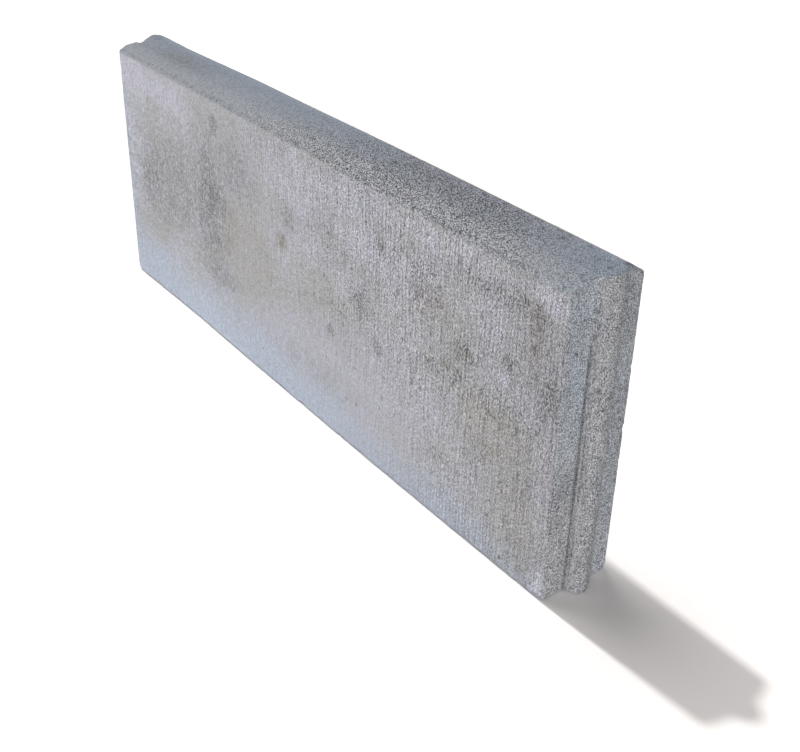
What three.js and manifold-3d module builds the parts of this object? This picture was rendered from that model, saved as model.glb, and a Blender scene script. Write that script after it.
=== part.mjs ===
// A concrete kerb stone (edging stone), cast in one piece. It stands on its long
// bottom edge. X runs along the stone, from the end with the groove (-X) to the end
// with the tongue (+X). Y runs across it, front face at -Y. Z is up, floor at Z = 0.
// All sizes are in millimetres. The origin is in the middle of the footprint.
import * as THREE from "three";
import { mergeVertices } from "three/addons/utils/BufferGeometryUtils.js";
import Module from "manifold-3d";

const BODY_LENGTH = 500; // shoulder to shoulder, the length it lays
const HEIGHT = 200; // floor to the crest of the top
const THICKNESS = 50; // front face to back face

const TOP_SLOPE = 0.6; // rise over run of the two slopes of the top
const CREST_RADIUS = 29; // the wide round that joins the slopes
const EAVES_RADIUS = 1.5; // the long edges where slope and upright face meet
const FOOT_RADIUS = 1.5; // the two long bottom edges
const END_RADIUS = 1.5; // the upright corners of the two ends

const TONGUE_WIDTH = 15; // (Y)
const TONGUE_REACH = 8; // how far it stands out past the shoulders (X)
const TONGUE_RADIUS = 7; // its two rounds, which leave its nose nearly half-round

const GROOVE_WIDTH = 19; // (Y), roomy for stones laid on a curve
const GROOVE_DEPTH = 9.5; // depth into the end (X)
const GROOVE_RADIUS = 8; // the two rounds of its bottom
const MOUTH_RADIUS = 1; // the two edges where it meets the shoulders

const OVERALL_LENGTH = BODY_LENGTH + TONGUE_REACH;
const GROOVE_END = -OVERALL_LENGTH / 2; // X of the shoulders beside the groove
const TONGUE_END = OVERALL_LENGTH / 2; // X of the nose of the tongue
const TONGUE_SHOULDER = TONGUE_END - TONGUE_REACH; // X of the shoulders beside it
const HALF = THICKNESS / 2;
const ARC_STEP = Math.PI / 18; // the most that a round turns in one straight step
const PAST = 10; // how far each of the two bars runs past the other

const manifold = await Module();
manifold.setup();
const { Manifold, Mesh } = manifold;

// The points that round one corner with an arc, which touches the lines to the
// corners before and after it. Its steps are straight and of an even number, so one
// point lies on the middle of the arc and the crest has its full height.
function roundCorner(corner, before, after, radius) {
  const back = before.clone().sub(corner).normalize();
  const ahead = after.clone().sub(corner).normalize();
  const halfAngle = Math.acos(back.dot(ahead)) / 2;
  const reach = radius / Math.tan(halfAngle);
  const towardsCentre = back.clone().add(ahead).setLength(radius / Math.sin(halfAngle));
  const centre = corner.clone().add(towardsCentre);
  const from = back.clone().setLength(reach).add(corner).sub(centre).angle();
  const to = ahead.clone().setLength(reach).add(corner).sub(centre).angle();
  const clockwise = back.cross(ahead) > 0;
  const arc = new THREE.EllipseCurve(centre.x, centre.y, radius, radius, from, to, clockwise);
  return arc.getPoints(2 * Math.ceil((Math.PI / 2 - halfAngle) / ARC_STEP));
}

// A closed outline from its corners, listed counter-clockwise as [x, y, radius].
// A corner with no radius stays sharp.
function outline(corners) {
  const points = corners.map(([x, y]) => new THREE.Vector2(x, y));
  return corners.flatMap(([, , radius], i) => {
    if (!radius) return [points[i]];
    return roundCorner(points[i], points.at(i - 1), points[(i + 1) % points.length], radius);
  });
}

// A straight bar with the given outline, as a closed solid.
function barSolid(points, length, placement) {
  const geometry = new THREE.ExtrudeGeometry(new THREE.Shape(points), {
    depth: length,
    bevelEnabled: false,
  });
  geometry.applyMatrix4(placement);
  geometry.deleteAttribute("normal");
  geometry.deleteAttribute("uv");
  const merged = mergeVertices(geometry, 1e-4);
  return new Manifold(
    new Mesh({
      numProp: 3,
      vertProperties: merged.attributes.position.array,
      triVerts: new Uint32Array(merged.index.array),
    }),
  );
}

// The stone seen from above: the groove at -X, the tongue at +X, their shoulders.
function planSolid() {
  const corners = [
    [GROOVE_END, -HALF, END_RADIUS],
    [TONGUE_SHOULDER, -HALF, END_RADIUS],
    [TONGUE_SHOULDER, -TONGUE_WIDTH / 2],
    [TONGUE_END, -TONGUE_WIDTH / 2, TONGUE_RADIUS],
    [TONGUE_END, TONGUE_WIDTH / 2, TONGUE_RADIUS],
    [TONGUE_SHOULDER, TONGUE_WIDTH / 2],
    [TONGUE_SHOULDER, HALF, END_RADIUS],
    [GROOVE_END, HALF, END_RADIUS],
    [GROOVE_END, GROOVE_WIDTH / 2, MOUTH_RADIUS],
    [GROOVE_END + GROOVE_DEPTH, GROOVE_WIDTH / 2, GROOVE_RADIUS],
    [GROOVE_END + GROOVE_DEPTH, -GROOVE_WIDTH / 2, GROOVE_RADIUS],
    [GROOVE_END, -GROOVE_WIDTH / 2, MOUTH_RADIUS],
  ];
  const upright = new THREE.Matrix4().makeTranslation(0, 0, -PAST);
  return barSolid(outline(corners), HEIGHT + 2 * PAST, upright);
}

// The stone seen along its length: flat foot, upright faces, and a top that slopes
// up from both long edges to a round crest.
function sectionSolid() {
  // The slopes would meet above the crest. Its arc cuts that peak off.
  const peakAboveCrest = CREST_RADIUS * (Math.hypot(1, TOP_SLOPE) - 1);
  const peak = HEIGHT + peakAboveCrest;
  const eaves = peak - HALF * TOP_SLOPE;
  const corners = [
    [-HALF, 0, FOOT_RADIUS],
    [HALF, 0, FOOT_RADIUS],
    [HALF, eaves, EAVES_RADIUS],
    [0, peak, CREST_RADIUS],
    [-HALF, eaves, EAVES_RADIUS],
  ];
  // The outline's own axes become Y and Z, and the bar's length becomes X.
  const lengthways = new THREE.Matrix4().set(
    0, 0, 1, GROOVE_END - PAST,
    1, 0, 0, 0,
    0, 1, 0, 0,
    0, 0, 0, 1,
  );
  return barSolid(outline(corners), OVERALL_LENGTH + 2 * PAST, lengthways);
}

function meshOf(solid, name, material) {
  const made = solid.getMesh();
  const geometry = new THREE.BufferGeometry();
  const positions = new Float32Array(made.vertProperties);
  geometry.setAttribute("position", new THREE.BufferAttribute(positions, made.numProp));
  geometry.setIndex(new THREE.BufferAttribute(new Uint32Array(made.triVerts), 1));
  geometry.computeVertexNormals();
  const mesh = new THREE.Mesh(geometry, material);
  mesh.name = name;
  return mesh;
}

const concrete = new THREE.MeshStandardMaterial({
  color: 0x9c9a98,
  roughness: 0.92,
  metalness: 0,
});

const kerb = new THREE.Group();
kerb.add(meshOf(planSolid().intersect(sectionSolid()), "kerb_stone", concrete));

export default kerb;
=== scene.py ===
import itertools

import bpy
import numpy as np
from mathutils import Euler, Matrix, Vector, kdtree


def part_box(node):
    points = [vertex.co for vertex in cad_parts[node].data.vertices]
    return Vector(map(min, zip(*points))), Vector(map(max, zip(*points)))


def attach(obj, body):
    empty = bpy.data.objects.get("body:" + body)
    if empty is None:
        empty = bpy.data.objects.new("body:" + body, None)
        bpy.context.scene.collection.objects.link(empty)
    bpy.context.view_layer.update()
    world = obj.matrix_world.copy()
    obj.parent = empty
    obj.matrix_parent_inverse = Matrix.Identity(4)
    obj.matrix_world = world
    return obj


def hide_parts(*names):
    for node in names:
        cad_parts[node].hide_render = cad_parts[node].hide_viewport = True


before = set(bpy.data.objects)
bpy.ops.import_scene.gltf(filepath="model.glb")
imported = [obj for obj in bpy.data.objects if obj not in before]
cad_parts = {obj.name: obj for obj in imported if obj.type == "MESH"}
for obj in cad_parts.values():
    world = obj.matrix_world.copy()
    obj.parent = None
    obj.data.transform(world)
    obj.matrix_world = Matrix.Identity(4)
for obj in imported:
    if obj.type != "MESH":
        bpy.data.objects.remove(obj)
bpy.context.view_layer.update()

MM = 0.001
NODE = "kerb_stone"
SEED = 7  # each noise adds a number of its own to it

# Sizes of the stone, in millimetres, from the frame.
LOW = np.array(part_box(NODE)[0]) / MM
HIGH = np.array(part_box(NODE)[1]) / MM
LENGTH, THICKNESS, HEIGHT = HIGH - LOW
FRONT = -THICKNESS / 2.0  # Y of the front face

# Its other sizes, in millimetres.
TONGUE_REACH = 8.0
SHOULDER = HIGH[0] - TONGUE_REACH  # X of the shoulders beside the tongue
TONGUE_SIDE = 7.5  # half the tongue's width
GROOVE_DEPTH = 10.5  # to a little past its bottom
GROOVE_SIDE = 10.2  # half its width and a little more
TOP_SLOPE = 0.6
CREST_RADIUS = 29.0
EAVES = 190.0  # height of the long edges of the top

# How finely the surface is made.
VOXEL = 0.9  # mm
MOST_TRIANGLES = 190000

# How the edges are worn, in rounds of smoothing.
EASED_ROUNDS = 2
RUBBED_ROUNDS = 18
TURNED_ROUNDS = 12  # for the directions in which lumps are lost

# How far the marks stand out or go in, in millimetres.
BURR_HEIGHT = 0.4
CREASE_DEPTH = 0.7
BITE_DEPTH = 1.3
LUMP_DEPTH = 6.0

BURR_Y = -10.6  # the ridge of slurry on the front shoulder of the near end, in millimetres

# Lumps that have broken off: the middle of each and its radius, in millimetres.
LOST_LUMPS = [
    ((LOW[0] - 1.0, -11.0, 199.0), 7.4),
    ((LOW[0], -14.5, 196.0), 4.0),
    ((LOW[0] + 8.0, -10.0, 200.5), 5.2),
    ((SHOULDER + 0.5, -25.0, 191.0), 2.2),
    ((SHOULDER + 0.5, -25.5, 1.0), 2.6),
    ((SHOULDER - 9.0, -26.0, 0.0), 1.9),
    ((SHOULDER - 19.0, -26.0, -0.5), 2.1),
    ((SHOULDER - 46.0, -26.0, -0.5), 1.7),
    ((SHOULDER + 0.5, -25.5, 62.0), 1.8),
]

# Pits: how many of a kind, the largest radius in millimetres and how much taller than wide.
ROUND_PITS = (600, 1.3, 1.0)
TALL_PITS = (350, 1.1, 1.8)
EAVES_PITS = (170, 1.3, 0.8)
SMALLEST_PIT = 0.7  # radius, in millimetres
PIT_RIM = 1.3  # where a pit ends, in radii from its middle

CAMERA_PLACE = (0.59013, -0.39440, 0.45414)
CAMERA_TURN_DEG = (61.0829, 0.6642, 56.3777)
CAMERA_LENS_MM = 53.017
CAMERA_SENSOR_MM = 36.0
CAMERA_SHIFT = (0.1020, -0.0775)

# Each lamp: its name, the way from the stone to it, its strength and its spread in degrees.
LAMPS = [
    ("key", (-0.497, -0.024, 0.867), 1.24, 2.2),
    ("key_glow", (-0.497, -0.024, 0.867), 0.96, 40.0),
    ("front_fill", (0.66, -0.75, 0.08), 2.1, 16.0),
    ("back_fill", (-0.20, 0.98, 0.04), 0.9, 16.0),
]
WORLD_TINT = (0.98, 0.99, 1.0, 1.0)
WORLD_LIGHT = 0.10  # how strongly the white surroundings light the stone
WORLD_SEEN = 1.0  # how bright they look to the camera
FLOOR_HALF = 30.0  # metres
FLOOR_TINT = (0.85, 0.85, 0.85, 1.0)  # how the floor lights the stone
FLOOR_SEEN_TINT = (1.49, 1.43, 1.40, 1.0)  # how it looks to the camera: white where it is lit


# ---------------------------------------------------------------- numbers over a surface

def smooth_step(value, low, high):
    """0 at low, 1 at high and smooth between them. Low may be the larger of the two."""
    share = np.clip((value - low) / (high - low), 0.0, 1.0)
    return share * share * (3.0 - 2.0 * share)


def bump_at(value, middle, reach):
    """1 at the middle, falling smoothly to almost 0 at twice the reach."""
    return np.exp(-((value - middle) / reach) ** 2)


GRADIENT_COUNT = 0x10000
GRADIENTS = np.random.default_rng(SEED).normal(size=(GRADIENT_COUNT, 3))
GRADIENTS /= np.linalg.norm(GRADIENTS, axis=1)[:, None]

# Large odd numbers that scatter neighbouring cells.
CELL_MIXERS = (73856093, 19349663, 83492791)
SEED_MIXER = 2654435
LAST_MIXER = 1274126177


def hashed(cell, seed):
    """A fixed whole number for each lattice cell, which looks random."""
    key = cell[:, 0] * CELL_MIXERS[0] ^ cell[:, 1] * CELL_MIXERS[1] ^ cell[:, 2] * CELL_MIXERS[2]
    key = key ^ seed * SEED_MIXER
    key = (key ^ (key >> 13)) * LAST_MIXER
    return (key ^ (key >> 16)) % GRADIENT_COUNT


def noise(points, size, seed):
    """Smooth noise, about -1 to 1. size is the size of its blots, one number or one an axis."""
    scaled = points / np.broadcast_to(np.asarray(size, float), 3)
    cell = np.floor(scaled).astype(np.int64)
    inside = scaled - cell
    ease = inside ** 3 * (inside * (inside * 6.0 - 15.0) + 10.0)
    total = np.zeros(len(points))
    for corner in itertools.product((0, 1), repeat=3):
        slope = GRADIENTS[hashed(cell + corner, seed)]
        weight = np.prod(np.where(corner, ease, 1.0 - ease), axis=1)
        total += weight * np.einsum("ij,ij->i", slope, inside - corner)
    return 1.6 * total


def layered_noise(points, size, layers, seed):
    """Noise with finer and weaker layers on top."""
    size = np.asarray(size, float)
    total = sum(noise(points, size / 2 ** i, seed + i) / 2 ** i for i in range(layers))
    return total / (2.0 - 0.5 ** (layers - 1))


def top_height(across):
    """Z of the crowned top over a place Y."""
    slope_end = CREST_RADIUS * TOP_SLOPE / np.hypot(1.0, TOP_SLOPE)
    peak = HEIGHT + CREST_RADIUS * (np.hypot(1.0, TOP_SLOPE) - 1.0)
    aside = np.abs(across)
    crest = HEIGHT - CREST_RADIUS + np.sqrt(CREST_RADIUS ** 2 - np.minimum(aside, slope_end) ** 2)
    return np.where(aside < slope_end, crest, peak - TOP_SLOPE * aside)


# ---------------------------------------------------------------- meshes as arrays

def read_vectors(mesh, name):
    """One vector for each vertex of a mesh."""
    flat = np.empty(len(mesh.vertices) * 3)
    mesh.vertices.foreach_get(name, flat)
    return flat.reshape(-1, 3)


def read_points(mesh):
    return read_vectors(mesh, "co") / MM


def read_normals(mesh):
    return read_vectors(mesh, "normal")


def write_points(mesh, points):
    mesh.vertices.foreach_set("co", (points * MM).astype(np.float32).ravel())
    mesh.update()


def read_edges(mesh):
    flat = np.empty(len(mesh.edges) * 2, np.int64)
    mesh.edges.foreach_get("vertices", flat)
    return flat.reshape(-1, 2)


def relaxed(points, edges, rounds):
    """The points after each has moved halfway to the middle of its neighbours, rounds times."""
    starts = np.concatenate([edges[:, 0], edges[:, 1]])
    ends = np.concatenate([edges[:, 1], edges[:, 0]])
    count = np.bincount(starts, minlength=len(points))[:, None]
    for _ in range(rounds):
        near = points[ends]
        total = [np.bincount(starts, near[:, axis], len(points)) for axis in range(3)]
        points = 0.5 * points + 0.5 * np.stack(total, axis=1) / count
    return points


def apply_modifiers(piece):
    """Gives the piece the mesh that its modifiers make, in place of its old one."""
    graph = bpy.context.evaluated_depsgraph_get()
    made = bpy.data.meshes.new_from_object(piece.evaluated_get(graph))
    piece.modifiers.clear()
    old, piece.data = piece.data, made
    bpy.data.meshes.remove(old)


class Spots:
    """Places on the stone, in millimetres, and how far each belongs to top, ends and front."""

    def __init__(self, points, normals):
        self.points = points
        self.along = points[:, 0] - LOW[0]
        self.across = points[:, 1]
        self.height = points[:, 2]
        self.near_half = points[:, 0] > 0.0
        self.top = smooth_step(top_height(self.across) - self.height, 1.6, 0.3)
        self.end = smooth_step(np.abs(normals[:, 0]), 0.35, 0.7) * (1.0 - self.top)
        self.front = smooth_step(-normals[:, 1], 0.35, 0.7) * (1.0 - self.top) * (1.0 - self.end)

    def give_groove_to_end(self):
        """Counts the groove's sides and bottom as part of the far end."""
        groove = (self.points[:, 0] < LOW[0] + GROOVE_DEPTH) & (np.abs(self.across) < GROOVE_SIDE)
        self.end = np.maximum(self.end, groove * (1.0 - self.top))
        self.front = self.front * (1.0 - groove)


# ---------------------------------------------------------------- the shape of the stone

def fine_copy():
    """A fine, even mesh of the CAD solid."""
    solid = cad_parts[NODE].data.copy()
    solid.materials.clear()
    piece = bpy.data.objects.new("cast_kerb_stone", solid)
    bpy.context.scene.collection.objects.link(piece)
    remesh = piece.modifiers.new("fine", "REMESH")
    remesh.mode = "VOXEL"
    remesh.voxel_size = VOXEL * MM
    apply_modifiers(piece)
    return piece


def thin_out(piece):
    """Thins the mesh out to the most triangles that it may have."""
    thin = piece.modifiers.new("thin_out", "DECIMATE")
    thin.ratio = MOST_TRIANGLES / (2 * len(piece.data.polygons))
    thin.use_collapse_triangulate = True
    apply_modifiers(piece)
    piece.data.polygons.foreach_set("use_smooth", [True] * len(piece.data.polygons))


def top_stray(points, share_along):
    """How far the top lies above its plan, in millimetres."""
    across, height = points[:, 1], points[:, 2]
    crown = smooth_step(height, EAVES - 7.0, EAVES + 3.0)
    lean = 0.9 * bump_at(across, 10.0, 9.0) - 0.9 * bump_at(across, -9.0, 9.0)
    bow = 0.8 * np.sin(np.pi * share_along) - 1.3 * smooth_step(share_along, 0.32, 0.06)
    bow -= 0.5 * smooth_step(share_along, 0.02, 0.05) * smooth_step(share_along, 0.62, 0.42)
    groove_lip = 2.4 * bump_at(points[:, 0], LOW[0] + 11.0, 6.5) * bump_at(across, 0.5, 6.0)
    front_bow = 0.7 + 0.5 * np.sin(np.pi * share_along ** 0.8)
    front_bow *= smooth_step(across, -6.0, -20.0)
    return crown * (lean + groove_lip + bow * smooth_step(across, -20.0, 0.0) + front_bow)


def foot_stray(points, share_along):
    """How far the foot of the front face lies behind its plan, in millimetres."""
    foot = smooth_step(points[:, 2], 150.0, 0.0) * smooth_step(points[:, 1], -5.0, -25.0)
    hollow = 0.8 * bump_at(share_along, 0.20, 0.12)
    belly = 1.1 * np.sin(np.pi * share_along ** 1.9)
    return foot * (hollow - belly)


def cast_out_of_true(points):
    """How far the cast stone strays from its plan, in millimetres along X, Y and Z."""
    share_along = np.clip((points[:, 0] - LOW[0]) / LENGTH, 0.0, 1.0)
    stray = np.zeros_like(points)
    stray[:, 1] = foot_stray(points, share_along)
    stray[:, 2] = top_stray(points, share_along)
    return stray


def worn_edges(points, edges):
    """Takes the sharpness off all edges, and chips from some places along them."""
    eased = relaxed(points, edges, EASED_ROUNDS)
    rubbed = relaxed(points, edges, RUBBED_ROUNDS)
    chips = layered_noise(points, 7.0, 3, SEED + 10)
    rough = layered_noise(points, 60.0, 2, SEED + 20)
    share = 0.05 + smooth_step(chips + 0.3 * rough, 0.22, 0.62)
    return eased + (rubbed - eased) * share[:, None]


def broken_off(points):
    """How far each point lies inside the lost lumps, in millimetres."""
    ragged = 1.0 + 0.35 * layered_noise(points, 4.0, 2, SEED + 25)
    deep = np.zeros(len(points))
    for place, radius in LOST_LUMPS:
        deep = np.maximum(deep, radius * ragged - np.linalg.norm(points - place, axis=1))
    return np.clip(deep, 0.0, LUMP_DEPTH)


def face_waves(spots):
    """Slow swells and fine roughness of the faces, outwards from the surface."""
    swell = 0.14 * layered_noise(spots.points, 70.0, 2, SEED + 30)
    ripple = 0.09 * layered_noise(spots.points, 14.0, 2, SEED + 40)
    coarseness = 0.06 + 0.10 * spots.top + 0.05 * spots.end
    return swell + ripple + coarseness * layered_noise(spots.points, 2.6, 2, SEED + 50)


def burr(spots):
    """Where a low ridge of slurry runs up the near end, beside the tongue."""
    line = BURR_Y + 0.4 * layered_noise(spots.points * (0.0, 0.0, 1.0), 30.0, 2, SEED + 55)
    fades = 0.3 + 0.7 * smooth_step(spots.height, 60.0, 130.0)
    return spots.end * spots.near_half * fades * bump_at(spots.across, line, 0.9)


def crease(spots):
    """Where the sharp corner between the front shoulder and the tongue is."""
    near = spots.end * spots.near_half * (spots.points[:, 0] < SHOULDER + 2.5)
    near = near * (0.15 + 0.85 * smooth_step(spots.height, 176.0, 140.0))
    return near * bump_at(spots.across, -TONGUE_SIDE - 0.7, 1.0)


def foot_bites(spots):
    """Where the two long bottom edges are bitten away, unevenly along the stone."""
    near = bump_at(np.abs(spots.across), -FRONT, 3.5) * bump_at(spots.height, 0.0, 3.0)
    uneven = layered_noise(spots.points * (1.0, 0.0, 0.0), 16.0, 3, SEED + 57)
    return near * smooth_step(uneven, -0.3, 0.6)


def scattered_pits(points, weights, kind, seed):
    """Chooses pits on the surface: the middles, radii and depths, and how tall they are."""
    count, largest, tall = kind
    chance = np.random.default_rng(seed)
    middle = chance.choice(len(points), count, replace=False, p=weights / weights.sum())
    radius = SMALLEST_PIT + (largest - SMALLEST_PIT) * chance.random(count) ** 4
    depth = radius * chance.uniform(0.4, 0.8, count)
    return points[middle], radius, depth, tall


def pits_of(spots):
    """All pits: round ones, tall ones where pores crowd, and those along the front eaves."""
    near = smooth_step(spots.points[:, 0], -60.0, 60.0)
    round_weights = 0.01 + near * (0.1 + spots.top + spots.end)
    tall_weights = 0.01 + spots.front * near * pore_share(spots) ** 2
    eaves_weights = bump_at(spots.height, EAVES + 0.9, 0.7) * (spots.across < 0.0) + 1e-9
    return [
        scattered_pits(spots.points, round_weights, ROUND_PITS, SEED + 60),
        scattered_pits(spots.points, tall_weights, TALL_PITS, SEED + 61),
        scattered_pits(spots.points, eaves_weights, EAVES_PITS, SEED + 62),
    ]


def depth_in(points, kind):
    """How deep each point lies in one kind of pits."""
    middles, radii, depths, tall = kind
    squeeze = np.array([1.0, 1.0, 1.0 / tall])
    tree = kdtree.KDTree(len(points))
    for i, place in enumerate(points * squeeze):
        tree.insert(place, i)
    tree.balance()
    deep = np.zeros(len(points))
    for middle, radius, depth in zip(middles, radii, depths):
        rim = radius * PIT_RIM
        for _, i, away in tree.find_range(middle * squeeze, rim):
            bowl = max(0.0, 1.0 - (away / rim) ** 2)
            deep[i] = max(deep[i], depth * bowl)
    return deep


def pit_depth(points, pits):
    return sum(depth_in(points, kind) for kind in pits)


def make_stone():
    """The stone: a fine copy of the CAD, worn, pitted, chipped and slightly out of true."""
    piece = fine_copy()
    edges = read_edges(piece.data)
    plain = relaxed(read_points(piece.data), edges, 1)
    write_points(piece.data, plain)
    normals = read_normals(piece.data)
    spots = Spots(plain, normals)
    pits = pits_of(spots)

    outward = face_waves(spots) + BURR_HEIGHT * burr(spots) - CREASE_DEPTH * crease(spots)
    outward = outward - pit_depth(plain, pits) - BITE_DEPTH * foot_bites(spots)
    shaped = worn_edges(plain, edges) + normals * outward[:, None] + cast_out_of_true(plain)
    inward = relaxed(normals, edges, TURNED_ROUNDS)
    inward /= np.linalg.norm(inward, axis=1)[:, None]
    write_points(piece.data, shaped - inward * broken_off(plain)[:, None])

    thin_out(piece)
    finish_stone(piece.data, pits)
    return piece


# ---------------------------------------------------------------- the colours of the concrete, with painted light and shade

def linear(red, green, blue):
    """A colour written as it looks, 0 to 255, as the linear numbers a shader takes."""
    share = np.array([red, green, blue]) / 255.0
    return np.where(share > 0.04045, ((share + 0.055) / 1.055) ** 2.4, share / 12.92)


# The large faces.
GREY = linear(190, 190, 195)
NEAR_GREY = linear(171, 170, 174)
LILAC = linear(193, 192, 202)
PALE_BLOOM = linear(204, 203, 214)
BLUE_BLOOM = linear(190, 198, 211)
DULL = linear(157, 156, 158)
BEIGE = linear(179, 176, 171)
BROWN = linear(156, 150, 144)

# The top.
TOP_FAR = linear(150, 156, 165)
TOP_NEAR = linear(147, 150, 158)
TOP_BLUE = linear(143, 151, 162)
TOP_DULL = linear(132, 134, 138)
TOP_BACK = linear(140, 150, 163)
TOP_FRONT = linear(164, 165, 169)
TOP_DARK = 0.75 * TOP_FAR

# The ends.
END_BLUE = linear(177, 182, 190)
END_GREY = linear(177, 177, 180)
END_BACK = linear(173, 176, 182)
TONGUE_GREY = linear(176, 176, 180)
# A darker grey for the tongue's front flank: painted shade.
TONGUE_FLANK_SHADE = 0.86 * TONGUE_GREY
SLURRY = linear(184, 192, 200)
# Painted shade for the crease between the front shoulder and the tongue.
CREASE_SHADE = linear(96, 96, 98)

# Patches on the front face. Each is its place along the stone from the far end,
# its height, its half-length and half-height, all in millimetres, and its strength.
DULL_PATCHES = [
    (62, 100, 52, 42, 0.40),
    (46, 96, 30, 38, 0.50),
    (78, 114, 24, 32, 0.40),
    (102, 106, 24, 42, 0.36),
    (104, 146, 30, 16, 0.15),
    (140, 108, 32, 64, 0.56),
    (142, 118, 16, 20, 0.85),
    (150, 173, 6, 9, 0.9),
    (176, 146, 34, 26, 0.40),
    (150, 56, 28, 14, 0.55),
    (290, 38, 66, 14, 0.18),
    (345, 154, 12, 14, 0.15),
    (425, 123, 12, 10, 0.15),
    (492, 128, 10, 22, 0.25),
]
BEIGE_PATCHES = [
    (196, 92, 40, 50, 0.50),
    (84, 130, 40, 40, 0.30),
    (150, 166, 50, 22, 0.35),
    (384, 152, 20, 14, 0.30),
    (290, 76, 50, 16, 0.25),
    (280, 100, 40, 22, 0.45),
    (330, 112, 30, 30, 0.25),
    (400, 136, 34, 30, 0.40),
    (410, 104, 40, 22, 0.40),
    (450, 84, 40, 30, 0.60),
    (410, 50, 20, 12, 0.45),
    (470, 50, 22, 50, 0.45),
]
BROWN_PATCHES = [
    (237, 117, 8, 8, 0.80),
    (246, 136, 10, 14, 0.35),
    (323, 111, 7, 8, 0.25),
    (296, 77, 4, 5, 0.90),
    (348, 157, 4, 7, 0.35),
    (394, 144, 15, 11, 0.25),
    (412, 108, 8, 5, 0.45),
    (426, 122, 6, 5, 0.40),
    (446, 74, 14, 8, 0.30),
    (480, 160, 9, 24, 0.45),
    (474, 176, 9, 4, 0.30),
    (484, 20, 12, 14, 0.25),
]
PALE_PATCHES = [
    (459, 125, 3, 8, 0.9),
    (24, 176, 40, 20, 0.85),
    (80, 174, 50, 14, 0.90),
    (104, 166, 10, 14, 0.70),
    (318, 168, 24, 12, 0.50),
    (472, 112, 10, 16, 0.35),
    (250, 160, 40, 20, 0.50),
    (300, 178, 90, 12, 0.55),
    (400, 182, 70, 8, 0.45),
    (496, 9, 9, 12, 0.80),
    (335, 152, 36, 18, 0.65),
    (384, 150, 26, 16, 0.75),
    (440, 150, 26, 16, 0.30),
    (446, 112, 24, 14, 0.30),
    (345, 134, 60, 40, 0.20),
    (380, 112, 26, 16, 0.45),
    (394, 126, 17, 9, 0.60),
    (491, 72, 7, 50, 0.28),
    (80, 152, 30, 12, 0.60),
    (255, 118, 34, 26, 0.30),
    (320, 118, 24, 14, 0.65),
    (16, 116, 14, 50, 0.55),
    (486, 182, 16, 8, 0.70),
    (300, 60, 50, 36, 0.12),
    (380, 60, 50, 24, 0.25),
]

# The stains, from the lowest to the uppermost: patches, how ragged they are and their colour.
STAINS = [
    (PALE_PATCHES, 0.5, PALE_BLOOM),
    (BEIGE_PATCHES, 0.6, BEIGE),
    (DULL_PATCHES, 1.3, DULL),
    (BROWN_PATCHES, 1.2, BROWN),
]

# Where the pores lie close together, listed like the patches.
PORE_PATCHES = [
    (62, 112, 50, 50, 0.25),
    (140, 112, 24, 60, 0.35),
    (200, 180, 40, 10, 0.55),
    (300, 186, 60, 4, 0.35),
    (440, 170, 50, 5, 0.75),
    (246, 140, 14, 16, 0.60),
    (290, 142, 24, 10, 0.40),
    (296, 77, 6, 5, 1.0),
    (345, 87, 7, 6, 1.0),
    (326, 112, 12, 10, 0.9),
    (348, 157, 5, 7, 0.9),
    (354, 71, 3, 3, 1.0),
    (388, 150, 24, 16, 0.45),
    (428, 123, 12, 10, 0.8),
    (440, 103, 52, 12, 0.35),
    (416, 100, 3, 3, 1.0),
    (405, 43, 14, 6, 0.65),
    (472, 175, 14, 6, 0.6),
    (397, 104, 6, 5, 0.8),
    (460, 133, 6, 7, 0.8),
    (492, 128, 10, 20, 0.7),
]

# Dull spots on the top: the place along the stone and across it, the half-length and half-width,
# in millimetres, and the strength.
TOP_SPOTS = [
    (78.0, -7.0, 34.0, 9.0, 0.7),
    (385.0, 0.0, 40.0, 9.0, 0.5),
]


def patches(spots, listed):
    """How strongly each spot lies in the listed patches, whose rims fade out."""
    strongest = np.zeros(len(spots.along))
    for middle, level, half_length, half_height, strength in listed:
        along_share = (spots.along - middle) / half_length
        away = np.hypot(along_share, (spots.height - level) / half_height)
        strongest = np.maximum(strongest, strength * smooth_step(away, 1.35, 0.25))
    return strongest


def blotchy_share(spots):
    """How far each spot lies in the blotchy part of the faces, towards the far end."""
    return smooth_step(spots.along, 170.0, 110.0) * bump_at(spots.height, 110.0, 60.0)


def blended(colours, share, others):
    """The colours with a share of the others mixed in, which may be one colour for all."""
    return colours + (others - colours) * np.clip(share, 0.0, 1.0)[:, None]


class Blotches:
    """The noise that all parts of the stone share, from wide clouds down to flecks."""

    def __init__(self, points):
        self.cloud = layered_noise(points, 55.0, 3, SEED + 70)
        self.mottle = layered_noise(points, 13.0, 3, SEED + 80)
        self.fleck = layered_noise(points, (4.2, 4.2, 4.8), 2, SEED + 85)
        spatter = layered_noise(points, (3.4, 3.4, 4.2), 2, SEED + 86)
        crisp = smooth_step(spatter, -0.12, 0.12) - 0.5
        self.blots = 0.6 * self.mottle + 0.5 * self.fleck + 0.7 * crisp


def plain_face(spots, blotches):
    """The grey of the large faces with its tints, duller near the tongue."""
    along, mottle = spots.along, blotches.mottle
    face = np.tile(GREY, (len(along), 1))
    tint = layered_noise(spots.points, 34.0, 2, SEED + 75)
    face = blended(face, 0.10 + 0.9 * tint + 0.5 * mottle, LILAC)
    face = blended(face, 0.08 - 0.8 * tint - 0.5 * mottle, BEIGE)
    face = blended(face, 0.3 * blotches.blots - 0.3 * blotches.cloud, DULL)
    nearness = smooth_step(along + 20.0 * blotches.cloud, 400.0, 500.0)
    face = blended(face, 0.9 * nearness + 0.1 * blotches.blots, NEAR_GREY)
    above_slant = spots.height + 5.0 * mottle - (0.31 * along - 8.0)
    below_slant = smooth_step(above_slant, 8.0, -8.0) * smooth_step(along, 150.0, 200.0)
    return blended(face, 0.7 * below_slant * smooth_step(along, 480.0, 300.0), LILAC)


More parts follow.
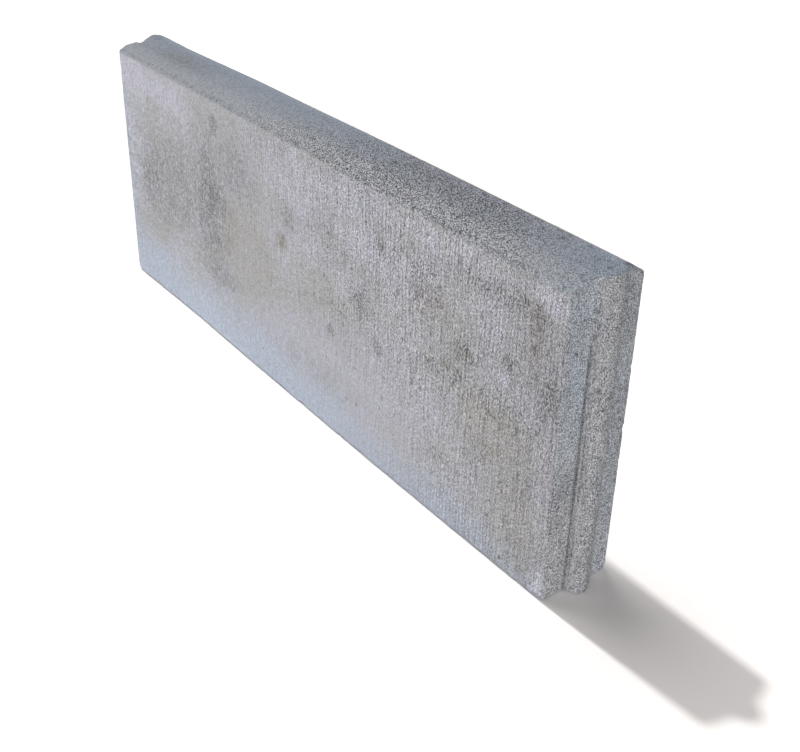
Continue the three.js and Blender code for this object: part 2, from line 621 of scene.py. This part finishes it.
def bloomed(face, spots, blotches):
    """The faces with bluish bloom at the foot and beside the far end."""
    along = spots.along
    foot_line = 50.0 - 0.06 * along
    ragged = 16.0 * blotches.cloud + 7.0 * blotches.mottle + 3.0 * blotches.fleck
    foot_bloom = smooth_step(spots.height + ragged, foot_line + 14.0, foot_line - 34.0)
    foot_light = 1.0 - 0.10 * smooth_step(along, 220.0, 440.0)
    foot_light += 0.07 * bump_at(along, 120.0, 55.0)
    face = blended(face, foot_bloom, BLUE_BLOOM * foot_light[:, None])
    face = face * (1.0 - 0.20 * smooth_step(spots.height, 2.6, 0.4))[:, None]
    far_rim = smooth_step(along + 5.0 * blotches.mottle + 3.0 * blotches.fleck, 16.0, 2.0)
    return blended(face, 0.8 * far_rim, BLUE_BLOOM)


def stained(face, spots, blotches):
    """The faces with the stains of the front, the blotches and painted shade on the tongue's
    front flank.
    """
    for listed, ragged, colour in STAINS:
        share = spots.front * patches(spots, listed) * (1.0 + ragged * blotches.blots)
        face = blended(face, share, colour)
    blotched = blotchy_share(spots) * (0.22 * blotches.mottle + 0.20 * blotches.fleck)
    face = face * (1.0 + blotched)[:, None]
    # painted shade on the tongue's front flank, past the shoulder
    flank_shade_share = smooth_step(spots.points[:, 0], SHOULDER, SHOULDER + 1.0)
    return blended(face, 0.9 * flank_shade_share, TONGUE_FLANK_SHADE)


def top_colours(spots, blotches):
    """The top: dull spots, a bluish back slope and a paler front slope."""
    along, across = spots.along, spots.across
    over = np.tile(TOP_FAR, (len(along), 1))
    over = blended(over, smooth_step(along + 40.0 * blotches.cloud, 170.0, 380.0), TOP_NEAR)
    over = blended(over, smooth_step(along + 30.0 * blotches.cloud, 430.0, 500.0), TOP_BLUE)
    over = blended(over, 0.3 * blotches.mottle + 0.25 * blotches.fleck, TOP_DARK)
    for middle, aside, half_length, half_width, strength in TOP_SPOTS:
        spot = bump_at(along, middle, half_length) * bump_at(across, aside, half_width)
        over = blended(over, strength * spot * (1.0 + blotches.blots), TOP_DULL)
    back_side = smooth_step(across, -6.0, 4.0) * smooth_step(along, 340.0, 250.0)
    over = blended(over, 0.6 * back_side, TOP_BACK)
    over = over * (1.0 + 0.16 * smooth_step(across, -2.0, 8.0))[:, None]
    front_side = smooth_step(across, -7.0, -19.0)
    front_side *= 0.5 + 0.45 * smooth_step(along, 160.0, 270.0) * smooth_step(along, 490.0, 430.0)
    return blended(over, front_side * (1.0 + 0.3 * blotches.blots), TOP_FRONT)


def with_arris(over, spots, blotches):
    """The top with dark dots along the front eaves, which turn into a painted highlight along the
    edge near the end.
    """
    along = spots.along
    arris = bump_at(spots.across, 1.4 + FRONT, 1.1)
    # a painted highlight along the front edge near the end
    edge_highlight = arris * smooth_step(along, 440.0, 480.0)
    dotted = arris * (smooth_step(along, 40.0, 150.0) * smooth_step(along, 490.0, 430.0))
    dots = smooth_step(noise(spots.points, 2.6, SEED + 77) + 0.5 * blotches.mottle, 0.05, 0.5)
    return over * (1.0 - 0.30 * dotted * dots + 0.12 * edge_highlight)[:, None]


def end_colours(spots, blotches):
    """The ends: bluish outside the tongue, with painted light towards the foot and painted shade
    in and beside the crease and along the front corner.
    """
    across, height = spots.across, spots.height
    ends = np.tile(END_GREY, (len(across), 1))
    high_up = smooth_step(height + 30.0 * blotches.cloud, 40.0, 120.0)
    ends = blended(ends, smooth_step(across, -8.0, -12.0) * high_up, END_BLUE)
    ends = blended(ends, smooth_step(across, 6.0, 9.0), END_BACK)
    tongue = smooth_step(np.abs(across), TONGUE_SIDE + 0.5, TONGUE_SIDE - 0.5)
    ends = blended(ends, tongue * (0.8 + 0.3 * blotches.mottle), TONGUE_GREY)
    ends = blended(ends, 0.10 + 0.4 * blotches.cloud - 0.3 * blotches.blots, DULL)
    # painted light: lighter below the middle and most near the foot, where the shadowed floor
    # sends up less light; painted shade on the tongue beside the crease
    lighter = 0.12 * smooth_step(height, 140.0, 90.0)
    lighter += (0.32 - 0.22 * tongue) * smooth_step(height, 80.0, 0.0)
    lighter += 0.10 * smooth_step(height, 24.0, 8.0)
    lighter -= 0.12 * bump_at(across, -5.5, 1.8)
    ends = ends * (1.0 + lighter)[:, None]
    # painted shade along the front corner of the near end, which dulls the light its rounded edge
    # catches
    corner_shade = bump_at(across, FRONT, 1.8) * spots.near_half
    ends = ends * (1.0 - 0.22 * corner_shade)[:, None]
    slurry = burr(spots) ** 0.5 * smooth_step(height, 90.0, 130.0)
    ends = blended(ends, 0.9 * slurry, SLURRY)
    # painted shade in the crease
    return blended(ends, 0.8 * crease(spots), CREASE_SHADE)


def broad_colours(spots):
    """The concrete's colour without its grain, with its painted light and shade, at each spot."""
    blotches = Blotches(spots.points)
    face = plain_face(spots, blotches)
    face = bloomed(face, spots, blotches)
    face = stained(face, spots, blotches)
    over = top_colours(spots, blotches)
    over = with_arris(over, spots, blotches)
    return blended(blended(face, spots.top, over), spots.end, end_colours(spots, blotches))


# ---------------------------------------------------------------- how the grain varies

def roughness_share(spots):
    """How open the grain is: finest far away and low on the faces, most open on the top."""
    along, height = spots.along, spots.height
    face = 0.42 + 0.58 * smooth_step(along + 0.8 * (height - 100.0), 200.0, 400.0)
    face = np.maximum(face, 0.35 + 0.75 * patches(spots, DULL_PATCHES))
    face = face + 0.12 * bump_at(along, 350.0, 60.0) * smooth_step(height, 70.0, 110.0)
    face *= 1.0 - 0.15 * smooth_step(along, 130.0, 90.0)
    near = 0.9 * smooth_step(along, 330.0, 430.0)
    face *= 0.6 + 0.4 * np.maximum(smooth_step(height, 30.0, 100.0), near)
    back_lag = 60.0 * smooth_step(spots.across, -20.0, -4.0)
    over = 0.22 + 0.88 * smooth_step(along - back_lag, 130.0, 320.0)
    over *= 1.0 - 0.5 * smooth_step(along, 420.0, 480.0)
    return face * (1.0 - spots.top - spots.end) + over * spots.top + spots.end


def mottle_share(spots):
    """How strongly the grain gathers into small blots: most in the dull patches."""
    plain = 0.40 + 0.50 * smooth_step(spots.along, 340.0, 240.0) + 0.65 * blotchy_share(spots)
    dull = patches(spots, DULL_PATCHES) * smooth_step(spots.along, 330.0, 200.0)
    return plain - 0.15 * spots.top + 0.3 * spots.end + 0.9 * spots.front * dull


def pore_share(spots):
    """How close together the pores lie."""
    along, height = spots.along, spots.height
    drift = layered_noise(spots.points, 24.0, 3, SEED + 95)
    clumps = smooth_step(layered_noise(spots.points, (6.0, 6.0, 8.0), 2, SEED + 97), 0.16, 0.50)
    clumps *= smooth_step(along, 180.0, 280.0) * smooth_step(height, 30.0, 80.0)
    open_grain = smooth_step(along, 220.0, 380.0) * smooth_step(height, 15.0, 70.0)
    face = 0.16 + 0.22 * open_grain + 0.26 * drift + 0.34 * clumps
    face = face + 0.75 * patches(spots, PORE_PATCHES)
    low_end = spots.end * smooth_step(height, 140.0, 105.0)
    others = 0.30 + 0.20 * spots.end + 0.6 * drift + 0.25 * low_end
    return np.clip(spots.front * face + (1.0 - spots.front) * others, 0.0, 1.0)


def write_attribute(mesh, name, values):
    """Writes one number or one colour for each vertex."""
    if values.ndim == 1:
        mesh.attributes.new(name, "FLOAT", "POINT").data.foreach_set("value", values)
        return
    padded = np.concatenate([values, np.ones((len(values), 1))], axis=1)
    mesh.attributes.new(name, "FLOAT_COLOR", "POINT").data.foreach_set("color", padded.ravel())


def finish_stone(mesh, pits):
    """Gives the mesh its material and the values that it reads, found on the stone's plan."""
    points = read_points(mesh)
    points -= cast_out_of_true(points)
    spots = Spots(points, read_normals(mesh))
    spots.give_groove_to_end()
    write_attribute(mesh, "broad_colour", broad_colours(spots))
    write_attribute(mesh, "roughness_share", roughness_share(spots))
    write_attribute(mesh, "mottle_share", mottle_share(spots))
    write_attribute(mesh, "pore_share", pore_share(spots))
    write_attribute(mesh, "upright_share", 1.0 - spots.top - 0.7 * spots.end)
    write_attribute(mesh, "pit_share", np.clip(1.2 * pit_depth(points, pits), 0.0, 1.0))
    mesh.materials.append(concrete())


# ---------------------------------------------------------------- the material

class Graph:
    """A short way to write down shader nodes."""

    def __init__(self, tree):
        self.tree = tree

    def node(self, kind, inputs, **settings):
        made = self.tree.nodes.new("ShaderNode" + kind)
        for name, value in settings.items():
            setattr(made, name, value)
        for socket, value in inputs.items():
            if isinstance(value, bpy.types.NodeSocket):
                self.tree.links.new(value, made.inputs[socket])
            else:
                made.inputs[socket].default_value = value
        return made.outputs

    def sum(self, *terms):
        total = terms[0]
        for term in terms[1:]:
            total = self.node("Math", {0: total, 1: term}, operation="ADD")[0]
        return total

    def product(self, *factors):
        total = factors[0]
        for factor in factors[1:]:
            total = self.node("Math", {0: total, 1: factor}, operation="MULTIPLY")[0]
        return total

    def larger(self, a, b):
        return self.node("Math", {0: a, 1: b}, operation="MAXIMUM")[0]

    def fade(self, value, low, high, start=0.0, end=1.0):
        """start where the value is low, end where it is high, and smooth between them."""
        inputs = {"Value": value, "From Min": low, "From Max": high}
        inputs.update({"To Min": start, "To Max": end})
        return self.node("MapRange", inputs, interpolation_type="SMOOTHSTEP")["Result"]

    def attribute(self, name, output="Fac"):
        return self.node("Attribute", {}, attribute_name=name)[output]

    def turned(self, where, angles):
        """Places turned, so that no face of the stone lies level with the grid of a noise."""
        inputs = {"Vector": where, "Rotation": angles}
        return self.node("VectorRotate", inputs, rotation_type="EULER_XYZ")["Vector"]

    def stretched(self, where, sizes):
        """Places measured in blots of the given sizes, in millimetres along X, Y and Z."""
        scale = tuple(1.0 / (size * MM) for size in sizes)
        return self.node("VectorMath", {0: where, 1: scale}, operation="MULTIPLY")["Vector"]

    def noise(self, where, sizes, detail):
        inputs = {"Vector": self.stretched(where, sizes), "Scale": 1.0, "Detail": detail}
        return self.node("TexNoise", inputs)["Fac"]

    def swing(self, where, sizes, detail, softness):
        """Noise from -1 to 1. The less soft, the more of it lies at the two limits."""
        noise = self.noise(where, sizes, detail)
        return self.fade(noise, 0.5 - softness, 0.5 + softness, -1.0, 1.0)


# Sizes of the grain, in millimetres along X, Y and Z.
ROUND_SALT = (0.6, 0.6, 0.6)
TALL_SALT = (0.45, 0.45, 1.1)
BLOTS = (2.4, 2.4, 2.4)
CRUMBS = (2.0, 2.0, 2.0)
DRAG_MARKS = (1.2, 1.2, 24.0)
TALL_HOLES = (0.7, 0.7, 1.7)
ROUND_HOLES = (1.1, 1.1, 1.1)
RIB_PERIOD = 3.0  # along X
RIB_PATCHES = (30.0, 30.0, 50.0)
RIB_WAVES = (9.0, 9.0, 40.0)
RIB_SHIFT = 14.0  # how far the waves shift the ribs, in radians

# How the places are turned for noise, in radians about X, Y and Z.
SPIN = (0.0, 0.0, 0.6)
TUMBLE = (0.5, 0.4, 0.6)

# How far each noise strays from its middle before it reaches its limits.
SALT_SOFTNESS = 0.09
DRAG_SOFTNESS = 0.14
BLOT_SOFTNESS = 0.12

# Between which values of its noise each kind of spot begins and is full.
CRUMB_RIM = (0.68, 0.74)
TALL_HOLE_RIM = (0.73, 0.77)
ROUND_HOLE_RIM = (0.72, 0.78)
CROWDING = 0.18  # added to the noise of the holes where pores crowd

# How much each layer lightens or darkens the concrete.
SALT_LIGHT = 0.37
SALT_LIGHT_ON_TOP = 0.36  # added to the salt's light there
DRAG_LIGHT = 0.10
RIB_LIGHT = 0.18
BLOT_LIGHT = 0.09
CRUMB_LIGHT = 0.16
# painted shade in the pores and pits
HOLE_SHADE = -0.68

# How far each layer stands out of the surface, in millimetres.
SALT_RELIEF = 0.10
DRAG_RELIEF = 0.5
HOLE_RELIEF = -0.35

ROUGHNESS = 0.92
SHINE = 0.25  # less than the shader's usual 0.5


class Concrete(Graph):
    """The layers of the concrete's grain. Upright is 1 on the large faces, level 1 on the top."""

    def __init__(self, tree):
        super().__init__(tree)
        self.where = self.node("TexCoord", {})["Object"]
        self.spun = self.turned(self.where, SPIN)
        self.tumbled = self.turned(self.where, TUMBLE)
        self.rough = self.attribute("roughness_share")
        self.mottled = self.attribute("mottle_share")
        self.upright = self.attribute("upright_share")
        self.level = self.node("Math", {0: 1.0, 1: self.upright}, operation="SUBTRACT")[0]

    def by_side(self, on_faces, on_top):
        """The first of the two on the large faces, the second on the top, both on the ends."""
        return self.sum(self.product(on_faces, self.upright), self.product(on_top, self.level))

    def salt(self):
        """Light and dark grains, from -1 to 1."""
        round_salt = self.swing(self.tumbled, ROUND_SALT, 0.0, SALT_SOFTNESS)
        tall_salt = self.swing(self.spun, TALL_SALT, 0.0, SALT_SOFTNESS)
        return self.product(self.by_side(tall_salt, round_salt), self.rough)

    def ribs(self):
        """Upright ribs along the stone, from -1 to 1, which fade in and out."""
        along = self.node("SeparateXYZ", {0: self.where})["X"]
        turn = self.product(along, 2.0 * np.pi / (RIB_PERIOD * MM))
        turn = self.sum(turn, self.product(self.noise(self.where, RIB_WAVES, 1.0), RIB_SHIFT))
        wave = self.node("Math", {0: turn}, operation="SINE")[0]
        return self.product(wave, self.noise(self.where, RIB_PATCHES, 1.0))

    def drag(self):
        """The marks that the mould left as it was drawn up off the large faces."""
        marks = self.product(self.swing(self.spun, DRAG_MARKS, 1.0, DRAG_SOFTNESS), DRAG_LIGHT)
        both = self.sum(marks, self.product(self.ribs(), RIB_LIGHT))
        return self.product(both, self.rough, self.upright)

    def blots(self):
        return self.product(self.swing(self.tumbled, BLOTS, 2.0, BLOT_SOFTNESS), self.mottled)

    def crumbs(self):
        """Small pale flecks."""
        flecks = self.fade(self.noise(self.tumbled, CRUMBS, 1.0), *CRUMB_RIM)
        return self.product(flecks, self.mottled)

    def holes(self):
        """Pores, tall on the large faces, together with the pits of the mesh."""
        crowding = self.product(self.attribute("pore_share"), CROWDING)
        tall = self.sum(self.noise(self.spun, TALL_HOLES, 1.0), crowding)
        tall = self.fade(tall, *TALL_HOLE_RIM)
        small = self.sum(self.noise(self.tumbled, ROUND_HOLES, 1.0), crowding)
        small = self.fade(small, *ROUND_HOLE_RIM)
        pores = self.product(self.by_side(tall, small), self.rough)
        return self.larger(pores, self.attribute("pit_share"))


def concrete():
    material = bpy.data.materials.new("concrete")
    material.use_nodes = True
    shader = material.node_tree.nodes["Principled BSDF"]
    graph = Concrete(material.node_tree)
    salt, drag, holes = graph.salt(), graph.drag(), graph.holes()

    salt_light = graph.sum(SALT_LIGHT, graph.product(graph.level, SALT_LIGHT_ON_TOP))
    light = graph.sum(1.0, graph.product(salt, salt_light), drag)
    light = graph.sum(light, graph.product(graph.blots(), BLOT_LIGHT))
    light = graph.sum(light, graph.product(graph.crumbs(), CRUMB_LIGHT))
    # the pores and pits darkened with painted shade
    light = graph.product(light, graph.sum(1.0, graph.product(holes, HOLE_SHADE)))
    base = graph.attribute("broad_colour", "Color")
    colour = graph.node("VectorMath", {0: base, "Scale": light}, operation="SCALE")["Vector"]

    raised = graph.sum(graph.product(salt, SALT_RELIEF), graph.product(drag, DRAG_RELIEF))
    raised = graph.sum(raised, graph.product(holes, HOLE_RELIEF))
    bump = graph.node("Bump", {"Height": raised, "Distance": MM, "Strength": 1.0})["Normal"]
    graph.tree.links.new(colour, shader.inputs["Base Color"])
    graph.tree.links.new(bump, shader.inputs["Normal"])
    shader.inputs["Roughness"].default_value = ROUGHNESS
    shader.inputs["Specular IOR Level"].default_value = SHINE
    return material


# ---------------------------------------------------------------- floor, lights and camera

def pale_floor():
    """A matt floor that looks lighter to the camera than it does to the stone."""
    material = bpy.data.materials.new("pale_floor")
    material.use_nodes = True
    material.node_tree.nodes.clear()
    graph = Graph(material.node_tree)
    seen = graph.node("LightPath", {})["Is Camera Ray"]
    inputs = {"Factor": seen, "A": FLOOR_TINT, "B": FLOOR_SEEN_TINT}
    tint = graph.node("Mix", inputs, data_type="RGBA")["Result"]
    matt = graph.node("BsdfDiffuse", {"Color": tint})["BSDF"]
    graph.node("OutputMaterial", {"Surface": matt})
    return material


def make_floor():
    mesh = bpy.data.meshes.new("floor")
    corners = [(-1, -1, 0), (1, -1, 0), (1, 1, 0), (-1, 1, 0)]
    mesh.from_pydata([Vector(corner) * FLOOR_HALF for corner in corners], [], [(0, 1, 2, 3)])
    mesh.materials.append(pale_floor())
    floor = bpy.data.objects.new("floor", mesh)
    bpy.context.scene.collection.objects.link(floor)


def make_world():
    """White surroundings, which light the stone only weakly."""
    world = bpy.data.worlds.new("studio")
    bpy.context.scene.world = world
    world.use_nodes = True
    background = world.node_tree.nodes["Background"]
    background.inputs["Color"].default_value = WORLD_TINT
    graph = Graph(world.node_tree)
    path = graph.node("LightPath", {})
    seen = graph.larger(path["Is Camera Ray"], path["Is Glossy Ray"])
    seen = graph.larger(seen, path["Is Transmission Ray"])
    inputs = {"Value": seen, "To Min": WORLD_LIGHT, "To Max": WORLD_SEEN}
    strength = graph.node("MapRange", inputs)["Result"]
    graph.tree.links.new(strength, background.inputs["Strength"])


def make_sun(name, towards, strength, spread_deg):
    """A distant white lamp. towards points from the stone to the lamp."""
    lamp = bpy.data.lights.new(name, "SUN")
    lamp.energy = strength
    lamp.angle = np.radians(spread_deg)
    sun = bpy.data.objects.new(name, lamp)
    sun.rotation_mode = "QUATERNION"
    sun.rotation_quaternion = Vector(towards).to_track_quat("Z", "Y")
    bpy.context.scene.collection.objects.link(sun)


def make_camera():
    lens = bpy.data.cameras.new("camera")
    lens.sensor_width = CAMERA_SENSOR_MM
    lens.lens = CAMERA_LENS_MM
    lens.shift_x, lens.shift_y = CAMERA_SHIFT
    camera = bpy.data.objects.new("camera", lens)
    camera.location = CAMERA_PLACE
    camera.rotation_euler = Euler(np.radians(CAMERA_TURN_DEG))
    bpy.context.scene.collection.objects.link(camera)
    bpy.context.scene.camera = camera


make_camera()
make_floor()
make_world()
for lamp_values in LAMPS:
    make_sun(*lamp_values)
bpy.context.scene.view_settings.view_transform = "Standard"

stone = make_stone()
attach(stone, "root")
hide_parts(NODE)
